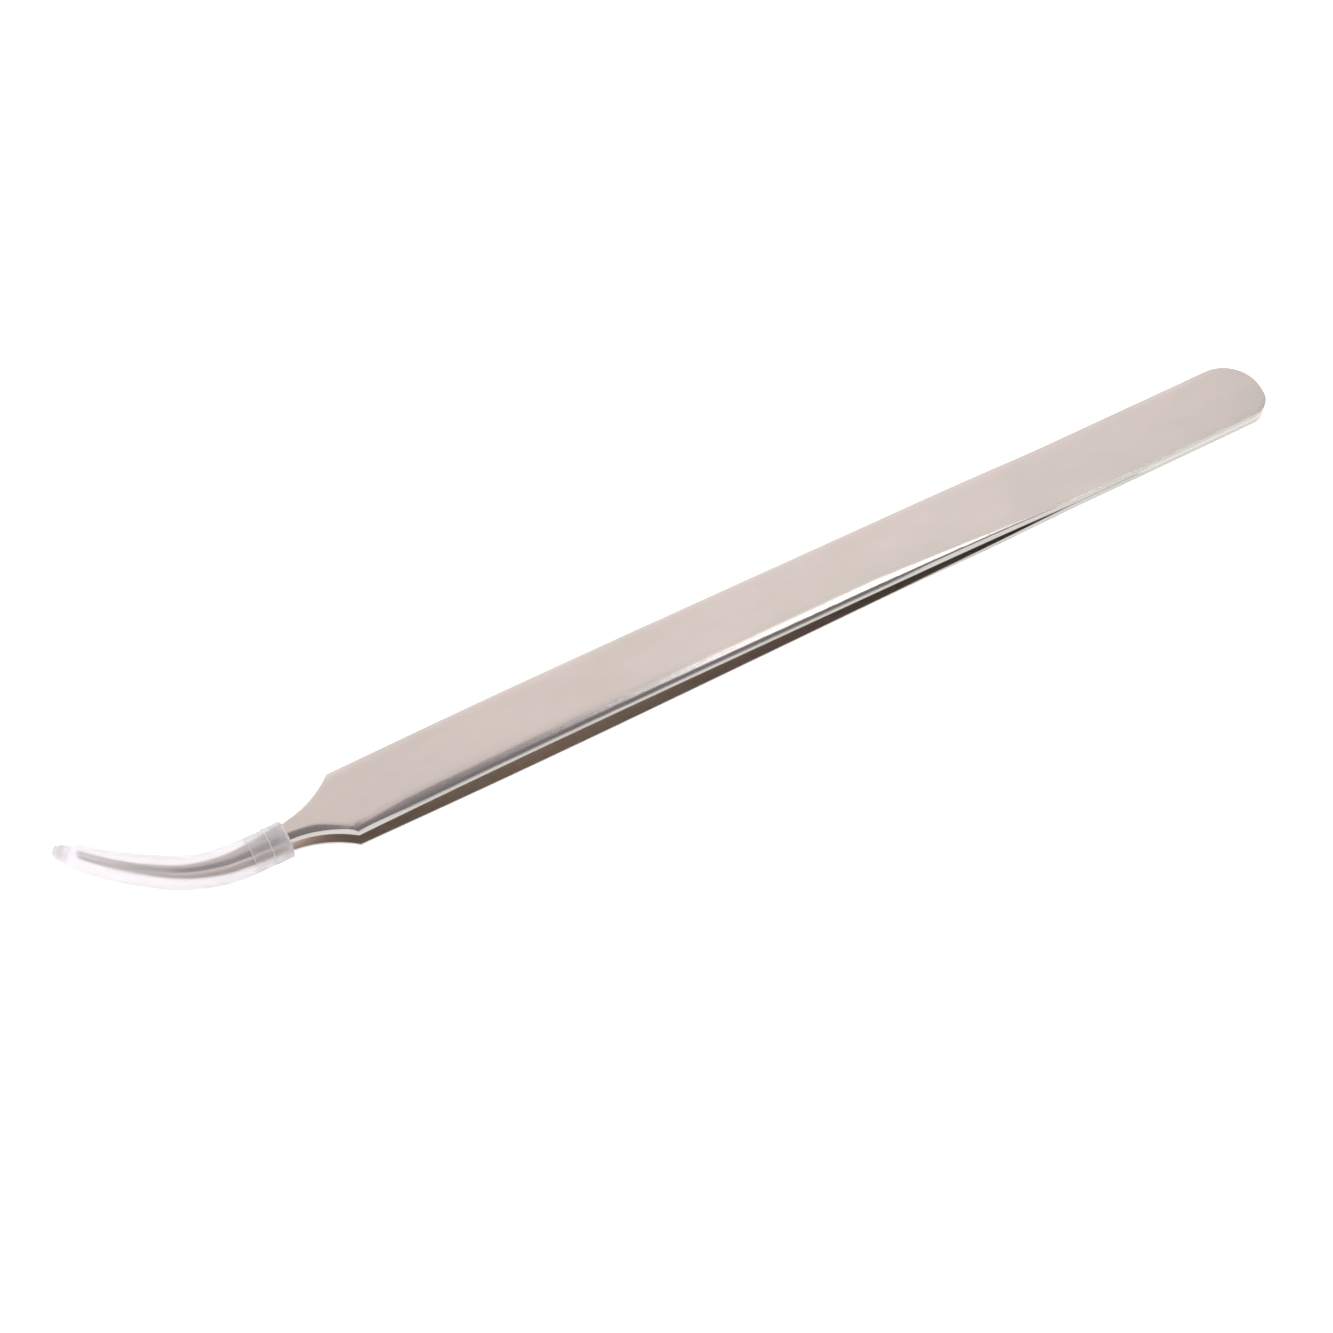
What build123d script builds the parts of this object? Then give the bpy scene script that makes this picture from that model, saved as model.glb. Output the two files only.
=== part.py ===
from build123d import *
import math
import os

# Curved planting tweezers: two stainless strips welded together at a rounded butt, bowed apart,
# necked down to slender curved tips that a soft translucent cap holds almost closed.
# Millimetres. Everything is drawn with the butt end at X = 0, the strips' centre line at Y = 0 and
# the seam between the strips at Z = 0, then moved as one to stand over the origin. Distances along
# the tool run from the butt end towards the tips, which is the -X way. The arms close along Z.

# strips
strip_width = 10.4
strip_thickness = 1.15
butt_end_radius = 9.0           # the flat arc across the butt end
butt_end_offset = -0.5          # its centre, sideways from the strip's centre line
butt_corner_radii = (5.6, 3.6)  # the rounds beside it, on the +Y and -Y edges
seam_length = 34.0              # the strips lie face to face over this length
shoulder_at = 151.9             # where the full width ends
neck_at = 160.5                 # where the concave shoulder arcs have run out
neck_width = 2.9
neck_offset = -0.16             # neck centre, sideways from the strip's centre line

# bow of one arm: distance from the butt, half of the gap between the arms
bow = [
    (seam_length, 0.0),
    (44.0, 0.355),
    (60.0, 0.83),
    (90.0, 1.30),
    (120.0, 1.60),
    (140.0, 1.43),
    (151.9, 1.15),
    (161.0, 0.86),
    (175.0, 0.44),
    (191.0, 0.07),
]
closing_slope = 0.02            # of the arm's inner face at the point, towards the other arm
taper_from = 158.0              # strip thickness is full up to here
taper_to = 191.0
tip_thickness = 0.50            # and comes down to this
taper_slope = 0.02              # of the outer face against the inner one

# curve of tip and cap, seen from above: a short straight, a tight arc, a gentle arc
straight_run = 5.95
tight_radius = 18.9
tight_turn = math.radians(33.3)
gentle_radius = 55.3

tip_length = 29.5               # along the curve, from the neck to the point
tip_width = 0.6                 # at the point
tip_taper_power = 2.2           # how fast the neck slims down
tip_lean = 0.4                  # the point lies this far towards the inside of the curve
lean_from = 14.0
tip_stations = 7

# flexures: the pivot of one stiff arm, in place of the spring bend near its root
flexure_at = 55.0
flexure_radius = 0.90
flexure_clearance = 0.03

# welds
edge_weld_length = 24.0         # each side, back from the butt end
edge_weld_depth = 0.45
edge_weld_height = 0.60
spot_weld_at = (19.0, 29.5)
spot_weld_diameter = 3.2
spot_weld_height = 0.5
spot_weld_bevel = spot_weld_height / 3

# cap: (start, end, outer radius) of its two collars, then (distance, outer radius) along the curve
collars = [(0.0, 2.75, 2.73), (2.75, 5.50, 2.66)]
sleeve = [(5.5, 2.60), (9.5, 2.52), (13.5, 2.42), (17.0, 2.33), (20.7, 2.22), (25.5, 2.00), (30.0, 1.77)]
cap_wall = 0.35
mouth_bore_radius = 2.38
mouth_bore_length = 2.0         # straight, before the bore narrows
cap_fit = 0.10                  # free space between the tips and the bore

# outside rounding of the neck between shoulders and cap: (distance from the mouth, radius)
shoulder_rounding = [(-9.5, 8.2), (-5.5, 4.3), (-2.5, 2.8)]
straight_station = 3.0          # one more section of the rounding, half way along the straight run
nub_steps = [(0.80, 1.15), (1.45, 0.80)]     # length past the dome, radius

# cutting sizes, all well clear of what they cut
room = 60.0                     # half size of the blocks that cut a strip in two
arm_height = 6.0                # one arm with its bow fits under this
sideways_reach = 2 * strip_width
behind_butt = 1.0
overcut = 0.5                   # the bore starts this far outside the mouth


def curve_point(distance, sideways=0.0):
    """Point on the curve of the tip, `sideways` towards the inside of the bend, and its heading."""
    tight_length = tight_radius * tight_turn
    run = min(distance, straight_run)
    x = -neck_at - run
    y = neck_offset
    heading = 0.0
    if distance > straight_run:
        heading = min(distance - straight_run, tight_length) / tight_radius
        x -= tight_radius * math.sin(heading)
        y += tight_radius * (1 - math.cos(heading))
    if distance > straight_run + tight_length:
        start = heading
        heading += (distance - straight_run - tight_length) / gentle_radius
        x -= gentle_radius * (math.sin(heading) - math.sin(start))
        y += gentle_radius * (math.cos(start) - math.cos(heading))
    x += sideways * math.sin(heading)
    y += sideways * math.cos(heading)
    return x, y, heading


def tip_edge(side):
    """Points of one edge of the tip, side +1 inside the bend and -1 outside it."""
    points = []
    for step in range(tip_stations):
        distance = tip_length * step / (tip_stations - 1)
        slimness = (1 - distance / tip_length) ** tip_taper_power
        half_width = (tip_width + (neck_width - tip_width) * slimness) / 2
        lean = tip_lean * (max(distance - lean_from, 0) / (tip_length - lean_from)) ** 2
        x, y, heading = curve_point(distance, lean + side * half_width)
        points.append((x, y))
    return points


def butt_corner(side, radius):
    """Points of the round at one side of the butt: on the strip's edge, half way, on the end arc."""
    centre_y = side * (strip_width / 2 - radius)
    sideways = centre_y - butt_end_offset
    centre_x = math.sqrt((butt_end_radius - radius) ** 2 - sideways ** 2) - butt_end_radius
    meeting = math.atan2(sideways, centre_x + butt_end_radius)
    points = []
    for angle in (side * math.pi / 2, (side * math.pi / 2 + meeting) / 2, meeting):
        points.append((centre_x + radius * math.cos(angle), centre_y + radius * math.sin(angle)))
    return points


def butt_edges():
    """Rounded butt end as three arcs, from the +Y edge to the -Y edge."""
    left = butt_corner(1, butt_corner_radii[0])
    right = butt_corner(-1, butt_corner_radii[1])
    across = ThreePointArc(left[2], (0, butt_end_offset), right[2])
    return [ThreePointArc(*left), across, ThreePointArc(*reversed(right))]


def strip_outline():
    """Face of one whole strip, seen from above."""
    half = strip_width / 2
    butt = butt_edges()
    inside = tip_edge(1)
    outside = tip_edge(-1)
    slim_slope = tip_taper_power * (neck_width - tip_width) / tip_length / 2
    point_x, point_y, heading = curve_point(tip_length + tip_width / 2, tip_lean)
    along_tip = (-math.cos(heading), math.sin(heading))
    inside_curve = Spline(inside, tangents=[(-1, -slim_slope), along_tip])
    outside_curve = Spline(outside, tangents=[(-1, slim_slope), along_tip])
    edges = butt + [
        Line(butt[-1] @ 1, (-shoulder_at, -half)),
        TangentArc(outside[0], (-shoulder_at, -half), tangent=(1, -slim_slope)),
        outside_curve,
        ThreePointArc(outside[-1], (point_x, point_y), inside[-1]),
        inside_curve,
        TangentArc(inside[0], (-shoulder_at, half), tangent=(1, slim_slope)),
        Line((-shoulder_at, half), butt[0] @ 0),
    ]
    return make_face(edges)


def thickness_at(distance):
    share = max(distance - taper_from, 0) / (taper_to - taper_from)
    return strip_thickness + (tip_thickness - strip_thickness) * share


def half_gap_at(distance):
    """Half of the gap between the arms, read off the bow by straight lines."""
    for (start, low), (end, high) in zip(bow, bow[1:]):
        if start <= distance <= end:
            return low + (high - low) * (distance - start) / (end - start)
    return 0.0


def strip_profile():
    """Face of one upper strip, seen from the side: flat over the seam, then bowed."""
    inner = [(-at, half_gap) for at, half_gap in bow]
    outer = [(-at, half_gap + thickness_at(at)) for at, half_gap in bow]
    inner_curve = Spline(inner, tangents=[(-1, 0), (-1, -closing_slope)])
    outer_curve = Spline(outer, tangents=[(-1, 0), (-1, -closing_slope - taper_slope)])
    edges = [
        Line((0, 0), inner[0]),
        inner_curve,
        Line(inner[-1], outer[-1]),
        outer_curve,
        Line(outer[0], (0, strip_thickness)),
        Line((0, strip_thickness), (0, 0)),
    ]
    return Plane.XZ * make_face(edges)


def section(distance, radius):
    """Round section square to the curve of the tip."""
    x, y, heading = curve_point(max(distance, 0.0))
    x -= min(distance, 0.0)
    across = Plane(origin=(x, y, 0), x_dir=(0, 0, 1), z_dir=(-math.cos(heading), math.sin(heading), 0))
    return across * Circle(radius)


def round_bar(stations):
    """Solid of round sections along the curve, from (distance, radius) pairs."""
    return loft([section(distance, radius) for distance, radius in stations])


def bore_radius_at(distance):
    """Radius of the cap's bore: the sleeve's, and a little under the collar's at the mouth."""
    stations = [(0.0, mouth_bore_radius)] + [(at, radius - cap_wall) for at, radius in sleeve[1:]]
    for (start, first), (end, last) in zip(stations, stations[1:]):
        if start <= distance <= end:
            return first + (last - first) * (distance - start) / (end - start)
    return stations[-1][1]


def tip_rounding():
    """Radius that neck and tip are ground to outside, from the shoulders to past the point."""
    stations = list(shoulder_rounding)
    in_cap = [0.0, straight_station, straight_run] + [at for at, radius in sleeve[1:]]
    for distance in in_cap:
        stations.append((distance, bore_radius_at(distance) - cap_fit))
    return stations


def block(start, end):
    """Block over everything from one distance to another along the tool."""
    length = end - start
    return Pos(-start - length / 2, 0, 0) * Box(length, 2 * room, 2 * room)


def make_strip():
    """The upper strip in one piece, its neck and tip rounded outside to go into the cap."""
    strip = extrude(strip_outline(), arm_height) & extrude(strip_profile(), sideways_reach, both=True)
    body = strip & block(-behind_butt, shoulder_at)
    tip = (strip & block(shoulder_at, 2 * shoulder_at)) & round_bar(tip_rounding())
    return body + tip


def flexure_height():
    return half_gap_at(flexure_at) + strip_thickness / 2


def flexure_rod(radius):
    """Rod across the strip on the axis that the arm pivots about."""
    return Pos(-flexure_at, 0, flexure_height()) * Rot(90, 0, 0) * Cylinder(radius, sideways_reach)


def split_at_flexure(strip):
    """The strip's welded part, with a hollow round end, and its arm, with a full round end."""
    root = strip & block(-behind_butt, flexure_at)
    tang = root - flexure_rod(flexure_radius + flexure_clearance)
    blade = (strip & block(flexure_at, 2 * shoulder_at)) + (root & flexure_rod(flexure_radius))
    return tang, blade


def weld_section():
    """Triangle square to the start of the weld's path, one side flush with the strips' edges."""
    half = strip_width / 2
    corners = [
        (-edge_weld_length, half, edge_weld_height / 2),
        (-edge_weld_length, half, -edge_weld_height / 2),
        (-edge_weld_length, half - edge_weld_depth, 0),
    ]
    return make_face(Polyline(corners, close=True))


def make_edge_weld():
    """Bead in the groove round the butt, ground flush: down one side, across and up the other."""
    half = strip_width / 2
    butt = butt_edges()
    lead_in = Line((-edge_weld_length, half), butt[0] @ 0)
    lead_out = Line(butt[-1] @ 1, (-edge_weld_length, -half))
    path = Wire([lead_in] + butt + [lead_out])
    return sweep(weld_section(), path=path)


def make_spot_welds():
    """Round nuggets fused inside the strips, where the edge weld doesn't reach."""
    nuggets = []
    for at in spot_weld_at:
        nugget = Cylinder(spot_weld_diameter / 2, spot_weld_height)
        rims = nugget.edges().filter_by(GeomType.CIRCLE)
        nuggets.append(Pos(-at, 0, 0) * chamfer(rims, spot_weld_bevel))
    return nuggets


def make_cap():
    """Soft cap: two stepped collars, a tapering curved sleeve, a domed end and its moulding nub."""
    outside = round_bar(sleeve)
    for start, end, radius in collars:
        outside += Pos(-neck_at, neck_offset, 0) * Rot(0, -90, 0) * collar_block(start, end, radius)
    dome_at, dome_radius = sleeve[-1]
    x, y, heading = curve_point(dome_at)
    outside += Pos(x, y, 0) * Sphere(dome_radius)
    for length, radius in nub_steps:
        reach = dome_radius + length
        turn = math.degrees(math.pi - heading)
        outside += Pos(x, y, 0) * Rot(0, 0, turn) * Rot(0, 90, 0) * collar_block(0, reach, radius)
    bore = [(-overcut, mouth_bore_radius), (mouth_bore_length, mouth_bore_radius)]
    bore += [(at, radius - cap_wall) for at, radius in sleeve]
    inside = round_bar(bore) + Pos(x, y, 0) * Sphere(dome_radius - cap_wall)
    return outside - inside


def collar_block(start, end, radius):
    """Cylinder about Z from one height to another."""
    return Pos(0, 0, (start + end) / 2) * Cylinder(radius, end - start)


def main():
    upper_tang, upper_blade = split_at_flexure(make_strip())
    edge_weld = make_edge_weld()
    spot_welds = make_spot_welds()
    upper_tang -= edge_weld
    for nugget in spot_welds:
        upper_tang -= nugget
    nodes = {
        "upper_tang": upper_tang,
        "lower_tang": mirror(upper_tang, about=Plane.XY),
        "upper_blade": upper_blade,
        "lower_blade": mirror(upper_blade, about=Plane.XY),
        "edge_weld": edge_weld,
        "spot_welds": Compound(spot_welds),
        "protective_cap": make_cap(),
    }
    box = Compound(list(nodes.values())).bounding_box()
    stand = Pos(-box.center().X, -box.center().Y, -box.min.Z)
    os.makedirs("parts", exist_ok=True)
    for name, shape in nodes.items():
        export_step(stand * shape, f"parts/{name}.step")
    print("moved by", stand.position)
    print("size", box.size)
    print("flexure axis", -flexure_at + stand.position.X, "+-", flexure_height(), "about", stand.position.Z)


if __name__ == "__main__":
    main()
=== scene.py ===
"""Curved planting tweezers with a soft cap over the tips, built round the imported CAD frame.

The shapes are worked out in millimetres with the butt end at x = 0, the strips' centre line at
y = 0 and the seam between the strips at z = 0. Distances run from the butt towards the tips, the -x
way. place() moves them to the frame, in metres.
"""

import math

import bmesh
import bpy
import numpy as np
from mathutils import Matrix, Vector, noise


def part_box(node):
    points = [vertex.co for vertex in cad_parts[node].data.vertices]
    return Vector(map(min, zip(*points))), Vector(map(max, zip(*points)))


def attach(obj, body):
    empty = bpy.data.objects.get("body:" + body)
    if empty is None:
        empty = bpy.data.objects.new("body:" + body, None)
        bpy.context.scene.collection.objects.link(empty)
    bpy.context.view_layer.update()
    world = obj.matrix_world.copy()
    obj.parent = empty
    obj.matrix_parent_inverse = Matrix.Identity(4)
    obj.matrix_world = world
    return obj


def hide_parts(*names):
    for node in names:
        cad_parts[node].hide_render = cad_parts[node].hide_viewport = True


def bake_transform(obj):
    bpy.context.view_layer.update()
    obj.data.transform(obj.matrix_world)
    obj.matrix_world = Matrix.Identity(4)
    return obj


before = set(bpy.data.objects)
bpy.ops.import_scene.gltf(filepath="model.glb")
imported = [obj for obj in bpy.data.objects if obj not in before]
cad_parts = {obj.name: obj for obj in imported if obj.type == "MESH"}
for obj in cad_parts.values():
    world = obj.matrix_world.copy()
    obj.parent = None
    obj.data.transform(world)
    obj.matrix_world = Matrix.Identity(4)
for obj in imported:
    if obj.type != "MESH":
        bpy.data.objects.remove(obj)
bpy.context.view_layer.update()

MM = 0.001
TINY = 1e-9                 # keeps divisions safe

# strip outline, as in the CAD
STRIP_WIDTH = 10.4
THICKNESS = 1.15
TIP_THICKNESS = 0.50
TAPER = (158.0, 191.0)
BUTT_END_RADIUS = 9.0
BUTT_END_OFFSET = -0.5
BUTT_CORNER_RADII = {1: 5.6, -1: 3.6}
BUTT_LENGTH = 5.7
SHOULDER_AT = 151.9
NECK_AT = 160.5
NECK_WIDTH = 2.9
NECK_OFFSET = -0.16
TIP_LENGTH = 29.5
TIP_WIDTH = 0.6
TIP_TAPER_POWER = 2.2
TIP_LEAN = 0.4              # the point lies this far off the curve, towards its inside,
LEAN_FROM = 14.0            # drifting off from this far past the neck

# half of the gap between the arms: (distance, half gap)
BOW = [(34.0, 0.0), (44.0, 0.355), (60.0, 0.83), (90.0, 1.30), (120.0, 1.60), (140.0, 1.43),
       (151.9, 1.15), (161.0, 0.86), (175.0, 0.44), (191.0, 0.07)]
CLOSING_SLOPE = -0.02

# curve of tip and cap
STRAIGHT_RUN = 5.95
TIGHT_RADIUS = 18.9
TIGHT_TURN = math.radians(33.3)
GENTLE_RADIUS = 55.3

# ground edges of a strip's outer face: (distance, width of the grinding, its depth, draft of the side)
GROUND_EDGE = [
    (0.0, 0.06, 0.02, 0.0),
    (38.0, 0.08, 0.03, 0.0),
    (47.0, 0.38, 0.14, 0.07),
    (54.0, 0.72, 0.22, 0.15),
    (61.0, 1.10, 0.28, 0.24),
    (69.0, 1.60, 0.33, 0.30),
    (110.0, 1.60, 0.35, 0.30),
    (144.0, 1.45, 0.42, 0.28),
    (151.0, 0.85, 0.34, 0.25),
    (152.8, 0.55, 0.30, 0.20),
    (156.5, 1.15, 0.38, 0.20),
    (161.0, 1.10, 0.42, 0.14),
    (170.0, 0.75, 0.35, 0.06),
    (191.0, 0.22, 0.18, 0.0),
]
FAR_EDGE_SHARE = 0.22       # the far edge is ground this share of the near one
FLAT_GRIND_SHARE = 0.74     # of the depth: the long shallow facet; the rest is the round at the rim
FACET_POWER = 1.35          # the facet is nearly flat
TIGHT_ROUND_FROM = 0.78     # share of the width where the tight round begins
EDGE_ROOM = 0.92            # share of half a section that an edge may take
STEEPEST = 0.04             # least squared cosine between outline and strip that widens a section
RIPPLE = 0.05               # the ground width wavers by this share
RIPPLE_PER_MM = 0.35
RIPPLE_SEED = 3.1
INNER_BREAK = 0.05
LEAST_SIDE = 0.02
LEAST_BAR_HEIGHT = 0.1
SHOULDER_ROUNDING = [(-9.5, 8.2), (-5.5, 4.3), (-2.5, 2.8)]     # (distance from the neck, radius)

# mesh density
BUTT_ROWS = 44
STRIP_ROWS = 132
SHOULDER_ROWS = 36
TIP_ROWS = 60
POINT_ROWS = 6
EDGE_ROWS = 11
EDGE_CROWDING = 1.3         # edge columns stand closer towards the rim
FACE_ROWS = 8
INNER_ROWS = 4
CAP_SEGMENTS = 72
SLEEVE_ROWS = 44
BORE_ROWS = 40
DOME_ROWS = 9
FIT_ROWS = 16

# weld
WELD_LENGTH = 24.0
WELD_DEPTH = 0.45
WELD_HALF_HEIGHT = 0.30
WELD_RUN_OUT = 1.1          # one row of the strip's mesh further, where bead and groove end
THIN_END = 0.15
WELD_SECTION = [(0.0, 1.0), (0.0, 0.66), (0.0, 0.33), (0.0, 0.0), (0.0, -0.33), (0.0, -0.66),
                (0.0, -1.0), (1.0, 0.0)]                        # (share of depth, of half height)
WELD_SINK = (0.004, 0.008)  # least hollow of the ground bead, and how much it wavers
SINK_PER_MM = 1.4
SINK_SEED = 7.0

# cap: outside (distance, radius), then inside
COLLAR_ENDS = (2.75, 5.50)
COLLAR_RADII = (2.68, 2.61)
SLEEVE = [(5.5, 2.60), (9.5, 2.52), (13.5, 2.42), (17.0, 2.33), (20.7, 2.22), (25.5, 2.00), (30.0, 1.77)]
SLEEVE_CURVE = [(5.5, 2.60), (9.5, 2.53), (13.5, 2.43), (20.7, 2.22), (30.0, 1.77)]
SLEEVE_END_SLOPE = -0.055
SLEEVE_FROM = 5.8
CAP_WALL = 0.35
MOUTH_BORE = 2.38
CAP_FIT = 0.10
NUB_STEPS = [(0.80, 1.15), (1.45, 0.80)]
STEP_LIP = 0.05             # raised rim at the end of each collar, up to the CAD's radius
RIM_WIDTH = 0.16
MOUTH_WALL = 0.10
MOUTH_ROUND = [(0.015, -0.14), (0.05, -0.06), (0.13, -0.015), (0.25, 0.0), (1.4, 0.0)]
STEP_ROUND = [(-0.12, STEP_LIP - 0.01), (-0.08, STEP_LIP), (-0.03, STEP_LIP - 0.01), (0.0, -0.02)]
STEP_FOOT = (0.02, 0.13)
SECOND_COLLAR_MIDDLE = 4.1
NUB_FOOT = (0.04, 0.02)
NUB_ROUND = [(-0.16, 0.0), (-0.06, -0.04), (-0.01, -0.12), (0.0, -0.24)]
BORE_FLARE = [(3.6, -0.05), (1.8, 0.0), (0.1, 0.0), (0.03, 0.02)]   # (distance, radius past the mouth's)

# meshes: edges sharper than these degrees stay crisp; metres within which vertices are joined
STEEL_SHARP = 32.0
CAP_SHARP = 50.0
JOINED_WITHIN = 2e-6
FACE_LEAST = 1e-7
INNER_UV_SHIFT = 20.0       # sets the pattern of the inner faces apart from the outer ones

# steel: colour, second colour of its clouds
ARM_TINTS = ((0.68, 0.652, 0.628), (0.628, 0.618, 0.588))
WELD_TINTS = ((0.66, 0.64, 0.615), (0.62, 0.61, 0.58))
# painted shade: the side faces' colour is multiplied darker and less warm
SIDE_SHADE_TINT = (0.80, 0.81, 0.79)
# painted light: the inner faces in the gap between the arms are coloured lighter and warmer
INNER_LIGHT_TINT = (1.10, 1.03, 0.99)
ARM_ROUGHNESS = 0.30
WELD_ROUGHNESS = 0.34
ROUGHNESS_SWING = 0.05
GROUND_POLISH = 0.08        # the ground edges are this much smoother
ARM_GRAIN = 0.35
WELD_GRAIN = 0.20
GRAIN_DEPTH = 0.00002
MOTTLE = 0.20
MOTTLE_DEPTH = 0.00006
CLOUD_CONTRAST = (0.35, 0.65)

# noise textures: (cells per mm along and across), detail, roughness
STEEL_CLOUDS = ((0.05, 0.12), 4.0, 0.6)
STEEL_GRAIN = ((0.22, 8.0), 4.0, 0.6)
STEEL_MOTTLE = ((0.9, 1.2), 4.0, 0.65)
CAP_CLOUDS = ((0.12, 0.25), 3.0, 0.5)
CAP_FLOW = ((0.2, 0.5), 2.0, 0.5)

# cap plastic: the tints are mixed by clouds; each other pair is the value at the mouth and at the dome
CAP_TINTS = ((0.975, 0.966, 0.985), (0.99, 0.986, 0.995))
CAP_IOR = 1.22
CAP_FROST = (0.25, 0.40)
FROST_UNEVENNESS = 0.05
CAP_CLEARNESS = (0.90, 0.86)
RIM_MILKINESS = 0.60        # where the wall is thick it is less clear,
RIM_FROST = 0.30            # and rougher
COLLAR_SHARE = 0.20         # thickness of the collars' wall, as a share of the rims'
FLOW_MARKS = 0.08
FLOW_DEPTH = 0.00003
CAP_GIRTH_RADIUS = 2.2      # turns an angle round the cap into millimetres


# ---------------------------------------------------------------- curves

class SmoothCurve:
    """Smooth curve y(x) through points, flat at the first and of a given slope at the last."""

    def __init__(self, points, last_slope):
        self.x, self.y = np.array(points, float).T
        step = np.diff(self.x)
        rise = np.diff(self.y) / step
        count = len(self.x)
        matrix = np.eye(count)
        target = np.zeros(count)
        target[-1] = last_slope
        for i in range(1, count - 1):
            matrix[i, i - 1 : i + 2] = (1 / step[i - 1], 2 / step[i - 1] + 2 / step[i], 1 / step[i])
            target[i] = 3 * (rise[i - 1] / step[i - 1] + rise[i] / step[i])
        self.slope = np.linalg.solve(matrix, target)

    def at(self, x):
        x = np.clip(x, self.x[0], self.x[-1])
        i = np.clip(np.searchsorted(self.x, x) - 1, 0, len(self.x) - 2)
        step = self.x[i + 1] - self.x[i]
        t = (x - self.x[i]) / step
        start = (1 + 2 * t) * (1 - t) ** 2 * self.y[i] + t * (1 - t) ** 2 * step * self.slope[i]
        end = t * t * (3 - 2 * t) * self.y[i + 1] + t * t * (t - 1) * step * self.slope[i + 1]
        return start + end


def table_at(table, x, column=1):
    rows = np.array(table, float)
    return np.interp(x, rows[:, 0], rows[:, column])


def curve_point(distance):
    """Point on the tip's centre curve and its heading, 0 along -x and turning towards +y."""
    tight_length = TIGHT_RADIUS * TIGHT_TURN
    run = min(distance, STRAIGHT_RUN)
    x = -NECK_AT - run
    y = NECK_OFFSET
    heading = 0.0
    if distance > STRAIGHT_RUN:
        heading = min(distance - STRAIGHT_RUN, tight_length) / TIGHT_RADIUS
        x -= TIGHT_RADIUS * math.sin(heading)
        y += TIGHT_RADIUS * (1 - math.cos(heading))
    if distance > STRAIGHT_RUN + tight_length:
        start = heading
        heading += (distance - STRAIGHT_RUN - tight_length) / GENTLE_RADIUS
        x -= GENTLE_RADIUS * (math.sin(heading) - math.sin(start))
        y += GENTLE_RADIUS * (math.cos(start) - math.cos(heading))
    return x, y, heading


half_gap_curve = SmoothCurve(BOW, CLOSING_SLOPE)


def thickness_at(distance):
    return np.interp(distance, TAPER, (THICKNESS, TIP_THICKNESS))


def bore_radius_at(distance):
    bore = [(0.0, MOUTH_BORE)] + [(at, radius - CAP_WALL) for at, radius in SLEEVE[1:]]
    return table_at(bore, distance)


# ---------------------------------------------------------------- mesh helpers

butt_low, butt_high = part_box("upper_tang")
ORIGIN = np.array([butt_high.x, (butt_low.y + butt_high.y) / 2, butt_low.z])


def place(verts):
    """From butt millimetres to the frame's metres."""
    return np.asarray(verts, float) * MM + ORIGIN


def mirrored(verts):
    return np.asarray(verts) * np.array([1, 1, -1])


def ring_faces(rings, size, last_joins_first=False):
    """Four-sided faces between each ring of size vertices and the next one."""
    faces = []
    for i in range(rings if last_joins_first else rings - 1):
        a, b = i * size, (i + 1) % rings * size
        for j in range(size):
            k = (j + 1) % size
            faces.append((a + j, b + j, b + k, a + k))
    return faces


def make_piece(name, verts, faces, uv, sharp_degrees=STEEL_SHARP, zones=None):
    """A closed mesh object with a UV map in millimetres and crisp edges over sharp_degrees.

    zones holds named shares, 0 to 1 at each vertex, for the material to read.
    """
    mesh = bpy.data.meshes.new(name)
    mesh.from_pydata([tuple(v) for v in place(verts)], [], faces)
    for zone, share in (zones or {}).items():
        attribute = mesh.attributes.new(zone, "FLOAT", "POINT")
        attribute.data.foreach_set("value", np.asarray(share, float))
    layer = mesh.uv_layers.new(name="Along")
    loops = np.array([loop.vertex_index for loop in mesh.loops])
    layer.data.foreach_set("uv", (np.asarray(uv, float)[loops]).ravel())
    work = bmesh.new()
    work.from_mesh(mesh)
    bmesh.ops.remove_doubles(work, verts=work.verts, dist=JOINED_WITHIN)
    bmesh.ops.dissolve_degenerate(work, edges=work.edges, dist=FACE_LEAST)
    bmesh.ops.recalc_face_normals(work, faces=work.faces)
    work.to_mesh(mesh)
    work.free()
    mesh.shade_smooth()
    mesh.set_sharp_from_angle(angle=math.radians(sharp_degrees))
    piece = bpy.data.objects.new(name, mesh)
    bpy.context.scene.collection.objects.link(piece)
    return piece


# ---------------------------------------------------------------- an arm

def tip_half_width(distance):
    slimness = max(1 - distance / TIP_LENGTH, 0.0) ** TIP_TAPER_POWER
    return (TIP_WIDTH + (NECK_WIDTH - TIP_WIDTH) * slimness) / 2


def shoulder_arc(side):
    """Centre and radius of the concave arc from the neck to the shoulder, side +1 or -1."""
    slope = side * TIP_TAPER_POWER * (NECK_WIDTH - TIP_WIDTH) / TIP_LENGTH / 2
    start = Vector((-NECK_AT, NECK_OFFSET + side * NECK_WIDTH / 2))
    end = Vector((-SHOULDER_AT, side * STRIP_WIDTH / 2))
    normal = Vector((-slope, 1.0)).normalized() * side
    chord = end - start
    radius = chord.length_squared / (2 * chord.dot(normal))
    return start + normal * radius, radius


def butt_edge(x, side):
    """Where the outline of the butt lies at x, on its +y side (side 1) or its -y side (side -1)."""
    radius = BUTT_CORNER_RADII[side]
    centre_y = side * (STRIP_WIDTH / 2 - radius)
    sideways = centre_y - BUTT_END_OFFSET
    centre_x = math.sqrt((BUTT_END_RADIUS - radius) ** 2 - sideways ** 2) - BUTT_END_RADIUS
    meeting = math.atan2(sideways, centre_x + BUTT_END_RADIUS)
    if x > BUTT_END_RADIUS * (math.cos(meeting) - 1):
        return BUTT_END_OFFSET + side * math.sqrt(max(-x * (2 * BUTT_END_RADIUS + x), 0.0))
    if x > centre_x:
        return centre_y + side * math.sqrt(radius ** 2 - (x - centre_x) ** 2)
    return side * STRIP_WIDTH / 2


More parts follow.
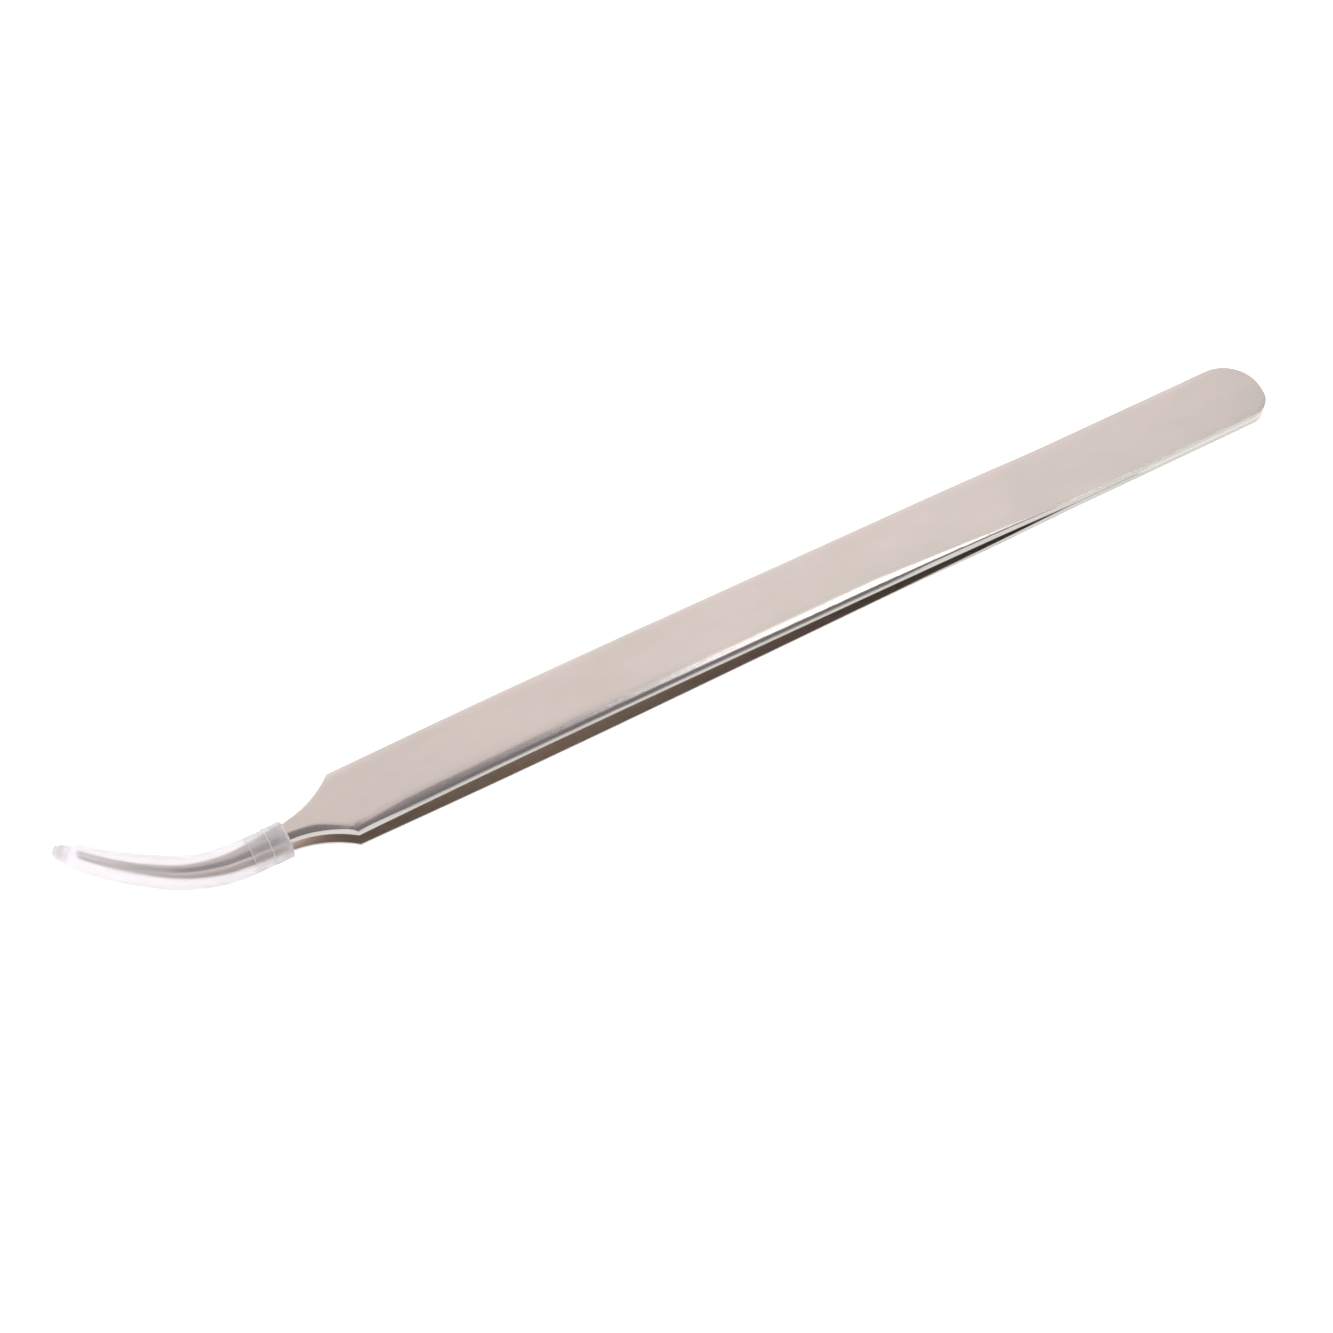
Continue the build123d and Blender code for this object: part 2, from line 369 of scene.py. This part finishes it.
def tip_rows():
    """Rows from the neck to the point, each square to the tip's curve."""
    rows = []
    past_end = [TIP_WIDTH / 2 * math.sin(a) for a in np.linspace(0, math.pi / 2, POINT_ROWS)[1:]]
    distances = list(np.linspace(0.0, TIP_LENGTH, TIP_ROWS)) + [TIP_LENGTH + past for past in past_end]
    for distance in distances:
        x, y, heading = curve_point(distance)
        inwards = Vector((math.sin(heading), math.cos(heading)))
        lean = TIP_LEAN * (max(distance - LEAN_FROM, 0) / (TIP_LENGTH - LEAN_FROM)) ** 2
        width = tip_half_width(distance)
        past = (distance - TIP_LENGTH) / (TIP_WIDTH / 2)
        if past > 0:
            width *= math.sqrt(max(1 - past ** 2, 0.0))
        rows.append((Vector((x, y)), inwards, lean + width, lean - width, NECK_AT + distance))
    return rows


def stations():
    """Rows across one strip: (origin, direction across, left end, right end, distance travelled)."""
    rows = []
    half = STRIP_WIDTH / 2
    across = Vector((0.0, 1.0))
    for angle in np.linspace(0.0, math.pi / 2, BUTT_ROWS):
        x = -BUTT_LENGTH * (1 - math.cos(angle))
        rows.append((Vector((x, 0.0)), across, butt_edge(x, 1), butt_edge(x, -1), -x))
    for at in np.linspace(BUTT_LENGTH, SHOULDER_AT, STRIP_ROWS)[1:]:
        rows.append((Vector((-at, 0.0)), across, half, -half, at))
    arcs = [shoulder_arc(side) for side in (1, -1)]
    for at in np.linspace(SHOULDER_AT, NECK_AT, SHOULDER_ROWS)[1:-1]:
        ends = []
        for side, (centre, radius) in zip((1, -1), arcs):
            drop = math.sqrt(max(radius ** 2 - (-at - centre.x) ** 2, 0.0))
            ends.append(centre.y - side * drop)
        rows.append((Vector((-at, 0.0)), across, ends[0], ends[1], at))
    return rows + tip_rows()


def distance_to_outline(points, outline):
    """Shortest way from each point to the closed outline."""
    ways = np.roll(outline, -1, axis=0) - outline
    lengths = np.maximum((ways ** 2).sum(1), TINY)
    nearest = np.full(len(points), np.inf)
    for start, way, length in zip(outline, ways, lengths):
        t = np.clip(((points - start) @ way) / length, 0, 1)
        gap = points - start - t[:, None] * way
        nearest = np.minimum(nearest, np.sqrt((gap ** 2).sum(1)))
    return nearest


def ground_edge_at(travelled):
    """Width, depth and draft of the near ground edge, with the grinder's waver in its width."""
    width, depth, draft = (float(table_at(GROUND_EDGE, travelled, column)) for column in (1, 2, 3))
    waver = noise.noise(Vector((travelled * RIPPLE_PER_MM, RIPPLE_SEED, 0.0)))
    return width * (1 + RIPPLE * waver), depth, draft


def edge_stretch(outline_side, i, across):
    """How much wider the section through row i cuts the ground edge, where the outline runs aslant."""
    before, after = max(i - 1, 0), min(i + 1, len(outline_side) - 1)
    run = Vector(outline_side[after] - outline_side[before])
    aslant = abs(run.normalized().dot(across)) if run.length > 0 else 1.0
    return 1 / math.sqrt(max(1 - aslant ** 2, STEEPEST))


def arm_sections():
    """Every section's ring of columns, flat, with what the grinding is at each, and the outline."""
    rows = stations()
    left = np.array([origin + across * high for origin, across, high, low, travelled in rows])
    right = np.array([origin + across * low for origin, across, high, low, travelled in rows])
    flat, grinding = [], []
    for i, (origin, across, high, low, travelled) in enumerate(rows):
        width, depth, draft = ground_edge_at(travelled)
        room = (high - low) / 2 * EDGE_ROOM
        edges = []
        for rim, side, way, share in ((high, left, -1, FAR_EDGE_SHARE), (low, right, 1, 1.0)):
            crowded = np.linspace(0, 1, EDGE_ROWS) ** EDGE_CROWDING
            offsets = draft * share + (width - draft) * share * crowded
            stretch = edge_stretch(side, i, across)
            scale = stretch * min(1.0, room / max(offsets[-1] * stretch, TINY))
            edges.append([rim + way * offset * scale for offset in offsets])
        far_edge, near_edge = edges
        weld_share = 1.0 if travelled < WELD_LENGTH else 0.0
        inner = min(INNER_BREAK + (WELD_DEPTH - INNER_BREAK) * weld_share, room)
        face = np.linspace(far_edge[-1], near_edge[-1], FACE_ROWS + 2)[1:-1]
        inner_face = np.linspace(low + inner, high - inner, INNER_ROWS)
        ring = [high, *far_edge, *face, *near_edge[::-1], low, *inner_face]
        flat.append([origin + across * sideways for sideways in ring])
        for sideways in ring:
            share = FAR_EDGE_SHARE if sideways > (high + low) / 2 else 1.0
            grinding.append((width * share, depth * share, draft * share, weld_share, travelled, sideways))
    return np.array(flat, float), np.array(grinding, float), np.concatenate([left, right[::-1]])


def bar_height(travelled, sideways):
    """Height of the round bar that shoulder and tip are ground to; no limit before the shoulder."""
    past_neck = travelled - NECK_AT
    rounding = list(SHOULDER_ROUNDING)
    for at in np.linspace(0, SLEEVE[-1][0], FIT_ROWS):
        rounding.append((at, bore_radius_at(at) - CAP_FIT))
    off_centre = sideways - np.where(past_neck < 0, NECK_OFFSET, 0)
    squared = table_at(rounding, past_neck) ** 2 - off_centre ** 2
    height = np.sqrt(np.maximum(squared, LEAST_BAR_HEIGHT ** 2))
    return np.where(past_neck > SHOULDER_ROUNDING[0][0], height, np.inf)


def arm_mesh():
    """The upper arm, one piece from butt to point: vertices, faces, UV map and material zones."""
    flat, grinding, outline = arm_sections()
    row_count, ring_size = flat.shape[:2]
    points = flat.reshape(-1, 2)
    width, depth, draft, weld_share, travelled, sideways = grinding.T
    bottom = half_gap_curve.at(-points[:, 0])
    top = bottom + thickness_at(-points[:, 0])
    from_rim = distance_to_outline(points, outline)
    facet = np.clip(1 - (from_rim - draft) / np.maximum(width - draft, TINY), 0, 1)
    tight = np.clip((facet - TIGHT_ROUND_FROM) / (1 - TIGHT_ROUND_FROM), 0, 1)
    cut = FLAT_GRIND_SHARE * facet ** FACET_POWER + (1 - FLAT_GRIND_SHARE) * tight ** 2
    ground = np.minimum(top - depth * cut, bar_height(travelled, sideways))

    last_top = 2 * EDGE_ROWS + FACE_ROWS
    column = np.tile(np.arange(ring_size), row_count)
    is_top = (column >= 1) & (column <= last_top)
    is_side = (column == 0) | (column == last_top + 1)
    is_inner = ~(is_top | is_side)
    side_foot = bottom + INNER_BREAK + (WELD_HALF_HEIGHT - INNER_BREAK) * weld_share
    side_foot = np.minimum(side_foot, ground - LEAST_SIDE)
    height = np.where(is_top, ground, np.where(is_side, side_foot, bottom))
    verts = np.column_stack([points, height])
    uv = np.column_stack([travelled, sideways + np.where(is_inner, INNER_UV_SHIFT, 0.0)])
    zones = {
        "ground": np.where(is_top, facet, is_side),
        # the side faces, whose colour the material darkens as painted shade
        "side": is_side | (column == 1) | (column == last_top),
        # the inner faces, whose colour the material lightens as painted light
        "inner": is_inner,
    }
    return verts, ring_faces(row_count, ring_size), uv, zones


# ---------------------------------------------------------------- cap

def cap_axis(distance):
    """Centre line of the cap: the tip's curve, then straight on from where the dome starts."""
    dome_at = SLEEVE[-1][0]
    x, y, heading = curve_point(min(distance, dome_at))
    past = max(distance - dome_at, 0.0)
    return x - past * math.cos(heading), y + past * math.sin(heading), heading


def shifted(offsets, at, radius):
    """Profile points from offsets along and outwards."""
    return [(at + along, radius + out) for along, out in offsets]


def moulded_step(at, from_radius, to_radius):
    """Profile points of a moulded step: a thin raised rim, then the drop."""
    rim = [(-RIM_WIDTH, 0.0)] + STEP_ROUND
    foot = [(along, 0.0) for along in STEP_FOOT]
    return shifted(rim, at, from_radius) + shifted(foot, at, to_radius)


def wall_share(at):
    """How thick the cap's wall is: 1 at the mouth, at the end of each collar and in the nub."""
    rims = [abs(at - end + RIM_WIDTH / 2) < RIM_WIDTH / 2 for end in (RIM_WIDTH, *COLLAR_ENDS)]
    if any(rims) or at > SLEEVE[-1][0] + SLEEVE[-1][1]:
        return 1.0
    return COLLAR_SHARE if at < COLLAR_ENDS[-1] else 0.0


def cap_profile():
    """(distance, radius) round the cap's wall: lip, collars, sleeve, dome, nub, and back inside."""
    first, second = COLLAR_RADII
    sleeve = SmoothCurve(SLEEVE_CURVE, SLEEVE_END_SLOPE)
    dome_at, dome_radius = SLEEVE[-1]
    profile = [(0.0, MOUTH_BORE + MOUTH_WALL)]
    profile += shifted(MOUTH_ROUND, 0.0, first)
    profile += moulded_step(COLLAR_ENDS[0], first, second)
    profile += [(SECOND_COLLAR_MIDDLE, second)]
    profile += moulded_step(COLLAR_ENDS[1], second, SLEEVE[0][1])
    for at in np.linspace(SLEEVE_FROM, dome_at, SLEEVE_ROWS):
        profile.append((at, float(sleeve.at(at))))
    for angle in np.linspace(0, math.acos(NUB_STEPS[0][1] / dome_radius), DOME_ROWS)[1:]:
        profile.append((dome_at + dome_radius * math.sin(angle), dome_radius * math.cos(angle)))
    for length, radius in NUB_STEPS:
        profile += shifted([NUB_FOOT], profile[-1][0], radius)
        profile += shifted(NUB_ROUND, dome_at + dome_radius + length, radius)
    profile.append((profile[-1][0], 0.0))

    bore_dome = dome_radius - CAP_WALL
    for angle in np.linspace(math.pi / 2, 0, DOME_ROWS):
        profile.append((dome_at + bore_dome * math.sin(angle), bore_dome * math.cos(angle)))
    for at in np.linspace(dome_at, SLEEVE_FROM, BORE_ROWS)[1:]:
        profile.append((at, float(sleeve.at(at)) - CAP_WALL))
    return profile + shifted(BORE_FLARE, 0.0, MOUTH_BORE)


def cap_mesh():
    """The cap's profile carried round its centre line: vertices, faces, UV map and material zones."""
    verts, uv, walls = [], [], []
    profile = cap_profile()
    for at, radius in profile:
        x, y, heading = cap_axis(at)
        for step in range(CAP_SEGMENTS):
            angle = 2 * math.pi * step / CAP_SEGMENTS
            out, up = radius * math.cos(angle), radius * math.sin(angle)
            verts.append((x + out * math.sin(heading), y + out * math.cos(heading), up))
            uv.append((at, angle * CAP_GIRTH_RADIUS))
            walls.append(wall_share(at))
    return verts, ring_faces(len(profile), CAP_SEGMENTS, last_joins_first=True), uv, {"wall": walls}


# ---------------------------------------------------------------- weld

def weld_mesh():
    """The bead round the butt: ground flush with the edges, its V root between the strips."""
    rows = [row for row in stations() if row[4] <= WELD_LENGTH + WELD_RUN_OUT]
    left = [origin + across * high for origin, across, high, low, travelled in rows]
    right = [origin + across * low for origin, across, high, low, travelled in rows]
    path = np.array(left[::-1] + right[1:])
    fullness = [1.0 if row[4] < WELD_LENGTH else THIN_END for row in rows]
    fullness = fullness[::-1] + fullness[1:]
    ways = np.gradient(path, axis=0)
    ways /= np.linalg.norm(ways, axis=1)[:, None]
    inward = np.column_stack([-ways[:, 1], ways[:, 0]])
    if inward[0][1] > 0:
        inward = -inward
    lengths = np.linalg.norm(np.diff(path, axis=0), axis=1)
    travelled = np.concatenate([[0], np.cumsum(lengths)])
    least, waver = WELD_SINK
    verts, uv = [], []
    for point, normal, at, full in zip(path, inward, travelled, fullness):
        for depth, height in WELD_SECTION:
            sink = 0.0
            if depth == 0.0 and abs(height) < 1.0:
                bump = noise.noise(Vector((at * SINK_PER_MM, height, SINK_SEED))) + 1
                sink = least + waver * bump * (1 - abs(height))
            spot = point + normal * (depth * WELD_DEPTH * full + sink)
            verts.append((spot[0], spot[1], height * WELD_HALF_HEIGHT * full))
            uv.append((at, height))
    size = len(WELD_SECTION)
    ends = [tuple(range(size)), tuple(range(len(verts) - size, len(verts)))]
    return verts, ends + ring_faces(len(path), size), uv


# ---------------------------------------------------------------- materials

# sockets of the colour mix node, by number because their names repeat
COLOUR_A = 6
COLOUR_B = 7
COLOUR_RESULT = 2


class Nodes:
    """Short way to write a material's node tree; a call that makes a value gives its socket."""

    def __init__(self, name):
        self.material = bpy.data.materials.new(name)
        self.material.use_nodes = True
        self.tree = self.material.node_tree
        self.tree.nodes.clear()
        self.shader = self.add("ShaderNodeBsdfPrincipled")
        output = self.add("ShaderNodeOutputMaterial")
        self.link(self.shader.outputs["BSDF"], output, "Surface")

    def add(self, kind, **values):
        """A new node, its inputs or settings given by name."""
        node = self.tree.nodes.new(kind)
        for name, value in values.items():
            if name in node.inputs:
                node.inputs[name].default_value = value
            else:
                setattr(node, name, value)
        return node

    def link(self, source, node, entry):
        self.tree.links.new(source, node.inputs[entry])

    def feed(self, entry, source):
        """Links a socket to the shader."""
        self.link(source, self.shader, entry)

    def set(self, **values):
        """Sets constants on the shader's own sockets."""
        for name, value in values.items():
            self.shader.inputs[name.replace("_", " ")].default_value = value

    def along(self):
        """Distance along the piece, in millimetres."""
        parts = self.add("ShaderNodeSeparateXYZ")
        self.link(self.add("ShaderNodeTexCoord").outputs["UV"], parts, "Vector")
        return parts.outputs["X"]

    def noise(self, per_mm, detail, roughness):
        """Noise whose cells are counted per millimetre along and across the piece."""
        stretched = self.add("ShaderNodeMapping", Scale=(*per_mm, 1.0))
        self.link(self.add("ShaderNodeTexCoord").outputs["UV"], stretched, "Vector")
        texture = self.add("ShaderNodeTexNoise", Scale=1.0, Detail=detail, Roughness=roughness)
        self.link(stretched.outputs["Vector"], texture, "Vector")
        return texture.outputs["Fac"]

    def zone(self, name):
        """One of the shares stored at the piece's vertices."""
        return self.add("ShaderNodeAttribute", attribute_name=name).outputs["Fac"]

    def ramp(self, source, span, result):
        """Maps the span of the source to the span of the result."""
        node = self.add("ShaderNodeMapRange")
        for name, value in zip(("From Min", "From Max", "To Min", "To Max"), (*span, *result)):
            node.inputs[name].default_value = value
        self.link(source, node, "Value")
        return node.outputs["Result"]

    def plus(self, base, share, extra):
        """The base value plus a share of another."""
        node = self.add("ShaderNodeMath", operation="MULTIPLY_ADD")
        node.inputs[1].default_value = share
        self.link(extra, node, 0)
        self.link(base, node, 2)
        return node.outputs["Value"]

    def mix(self, share, first, second):
        """Mix of two colours."""
        node = self.add("ShaderNodeMix", data_type="RGBA")
        node.inputs[COLOUR_A].default_value = (*first, 1.0)
        node.inputs[COLOUR_B].default_value = (*second, 1.0)
        self.link(share, node, 0)
        return node.outputs[COLOUR_RESULT]

    def tinted(self, colour, zone, tint):
        """The colour, multiplied by a tint where the zone's share is 1."""
        node = self.add("ShaderNodeMix", data_type="RGBA", blend_type="MULTIPLY")
        self.link(colour, node, COLOUR_A)
        node.inputs[COLOUR_B].default_value = (*tint, 1.0)
        self.link(self.zone(zone), node, 0)
        return node.outputs[COLOUR_RESULT]

    def bump(self, height, strength, distance):
        """A bump node, to be linked or laid under another."""
        node = self.add("ShaderNodeBump", Strength=strength, Distance=distance)
        self.link(height, node, "Height")
        return node


def steel_material(name, tints, roughness, grain_strength):
    """Satin stainless steel: grain along the strip, faint clouds of tint, painted shade darkening the
    sides, painted light on the inner faces.
    """
    n = Nodes(name)
    n.set(Metallic=1.0)
    clouds = n.ramp(n.noise(*STEEL_CLOUDS), CLOUD_CONTRAST, (0.0, 1.0))
    # painted shade on the side faces
    side_shaded = n.tinted(n.mix(clouds, *tints), "side", SIDE_SHADE_TINT)
    # painted light on the inner faces in the gap between the arms
    n.feed("Base Color", n.tinted(side_shaded, "inner", INNER_LIGHT_TINT))
    grain = n.noise(*STEEL_GRAIN)
    swing = (roughness - ROUGHNESS_SWING, roughness + ROUGHNESS_SWING)
    rough = n.ramp(grain, (0.0, 1.0), swing)
    n.feed("Roughness", n.plus(rough, -GROUND_POLISH, n.zone("ground")))
    mottle = n.bump(n.noise(*STEEL_MOTTLE), MOTTLE, MOTTLE_DEPTH)
    fine = n.bump(grain, grain_strength, GRAIN_DEPTH)
    n.link(mottle.outputs["Normal"], fine, "Normal")
    n.feed("Normal", fine.outputs["Normal"])
    return n.material


def cap_material():
    """Milky soft plastic: a frosted wall, cloudier towards the dome, with faint flow marks."""
    n = Nodes("soft_cap")
    n.set(IOR=CAP_IOR)
    n.feed("Base Color", n.mix(n.noise(*CAP_CLOUDS), *CAP_TINTS))
    flow = n.noise(*CAP_FLOW)
    n.feed("Normal", n.bump(flow, FLOW_MARKS, FLOW_DEPTH).outputs["Normal"])
    whole_sleeve = (0.0, SLEEVE[-1][0])
    wall = n.zone("wall")
    frost = n.plus(n.ramp(n.along(), whole_sleeve, CAP_FROST), FROST_UNEVENNESS, flow)
    n.feed("Roughness", n.plus(frost, RIM_FROST, wall))
    clear = n.ramp(n.along(), whole_sleeve, CAP_CLEARNESS)
    n.feed("Transmission Weight", n.plus(clear, -RIM_MILKINESS, wall))
    return n.material


# ---------------------------------------------------------------- build

arm_steel = steel_material("satin_steel", ARM_TINTS, ARM_ROUGHNESS, ARM_GRAIN)
weld_steel = steel_material("weld_metal", WELD_TINTS, WELD_ROUGHNESS, WELD_GRAIN)
cap_plastic = cap_material()

verts, faces, uv, zones = arm_mesh()
for name, shape in (("upper", verts), ("lower", mirrored(verts))):
    arm = make_piece(f"{name}_arm_strip", shape, faces, uv, zones=zones)
    arm.data.materials.append(arm_steel)
    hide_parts(f"{name}_tang", f"{name}_blade")
    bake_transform(arm)

bead = make_piece("edge_weld_bead", *weld_mesh())
bead.data.materials.append(weld_steel)
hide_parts("edge_weld")
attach(bead, "butt")

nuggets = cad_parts["spot_welds"]
nuggets.data.materials.clear()
nuggets.data.materials.append(weld_steel)

verts, faces, uv, zones = cap_mesh()
cap = make_piece("cap_sleeve", verts, faces, uv, CAP_SHARP, zones)
cap.data.materials.append(cap_plastic)
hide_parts("protective_cap")
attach(cap, "cap")


# ---------------------------------------------------------------- studio

FLOOR_DROP = 0.004          # leaves room for the lower arm to spring open
FLOOR_SIZE = 8.0
PAPER = (0.93, 0.93, 0.93, 1.0)
PAPER_ROUGHNESS = 0.9
PAPER_GLOW = 0.65

# air, by how far a direction faces the light side: (position, colour)
LIGHT_SIDE = (0.35, 0.90, -0.25)
DARK_AIR = (0.30, (0.27, 0.235, 0.25, 1.0))
LIGHT_AIR = (0.75, (0.85, 0.84, 0.84, 1.0))

WHITE = (1.0, 1.0, 1.0)
WARM_WHITE = (1.0, 0.86, 0.80)


def floor():
    bpy.ops.mesh.primitive_plane_add(size=FLOOR_SIZE, location=(0.0, 0.0, -FLOOR_DROP))
    plane = bpy.context.object
    plane.name = "studio_floor"
    n = Nodes("floor_paper")
    n.set(Base_Color=PAPER, Roughness=PAPER_ROUGHNESS)
    n.set(Emission_Color=(*WHITE, 1.0), Emission_Strength=PAPER_GLOW)
    plane.data.materials.append(n.material)


def soft_light(name, place_at, size, power, colour=WHITE):
    """Rectangular lamp that faces the middle of the tool; metres and watts."""
    lamp = bpy.data.lights.new(name, "AREA")
    lamp.shape = "RECTANGLE"
    lamp.size, lamp.size_y = size
    lamp.energy = power
    lamp.color = colour
    holder = bpy.data.objects.new(name, lamp)
    holder.location = place_at
    holder.rotation_mode = "QUATERNION"
    holder.rotation_quaternion = (-Vector(place_at)).to_track_quat("-Z", "Y")
    bpy.context.scene.collection.objects.link(holder)


def studio_air():
    world = bpy.data.worlds.new("studio_air")
    world.use_nodes = True
    air = world.node_tree
    direction = air.nodes.new("ShaderNodeTexCoord")
    facing = air.nodes.new("ShaderNodeVectorMath")
    facing.operation = "DOT_PRODUCT"
    facing.inputs[1].default_value = LIGHT_SIDE
    tone = air.nodes.new("ShaderNodeValToRGB")
    for stop, (position, colour) in zip(tone.color_ramp.elements, (DARK_AIR, LIGHT_AIR)):
        stop.position = position
        stop.color = colour
    air.links.new(direction.outputs["Generated"], facing.inputs[0])
    air.links.new(facing.outputs["Value"], tone.inputs["Fac"])
    air.links.new(tone.outputs["Color"], air.nodes["Background"].inputs["Color"])
    bpy.context.scene.world = world


floor()
soft_light("back_softbox", (0.05, 0.72, 0.92), (1.5, 0.8), 2.72, WARM_WHITE)
soft_light("highlight_lamp", (0.40, 0.07, 0.9), (0.32, 0.15), 0.68)
soft_light("left_softbox", (-1.1, 0.1, 0.75), (0.9, 0.7), 6.0)
soft_light("right_softbox", (1.3, 0.1, 0.45), (0.9, 0.5), 5.0)
studio_air()
bpy.context.scene.view_settings.view_transform = "Standard"


# ---------------------------------------------------------------- camera

CAMERA_AT = (-0.114345, -0.205043, 0.345139)
CAMERA_AZIMUTH = 28.263
CAMERA_ELEVATION = 56.5
CAMERA_ROLL = -0.926
LENS = 78.46
SENSOR_WIDTH = 36.0
NEAREST = 0.01

camera_data = bpy.data.cameras.new("photo_view")
camera_data.lens = LENS
camera_data.sensor_width = SENSOR_WIDTH
camera_data.clip_start = NEAREST
camera = bpy.data.objects.new("photo_view", camera_data)
turn = Matrix.Rotation(math.radians(-CAMERA_AZIMUTH), 4, "Z")
tilt = Matrix.Rotation(math.radians(90 - CAMERA_ELEVATION), 4, "X")
roll = Matrix.Rotation(math.radians(CAMERA_ROLL), 4, "Z")
camera.matrix_world = Matrix.Translation(CAMERA_AT) @ turn @ tilt @ roll
bpy.context.scene.collection.objects.link(camera)
bpy.context.scene.camera = camera
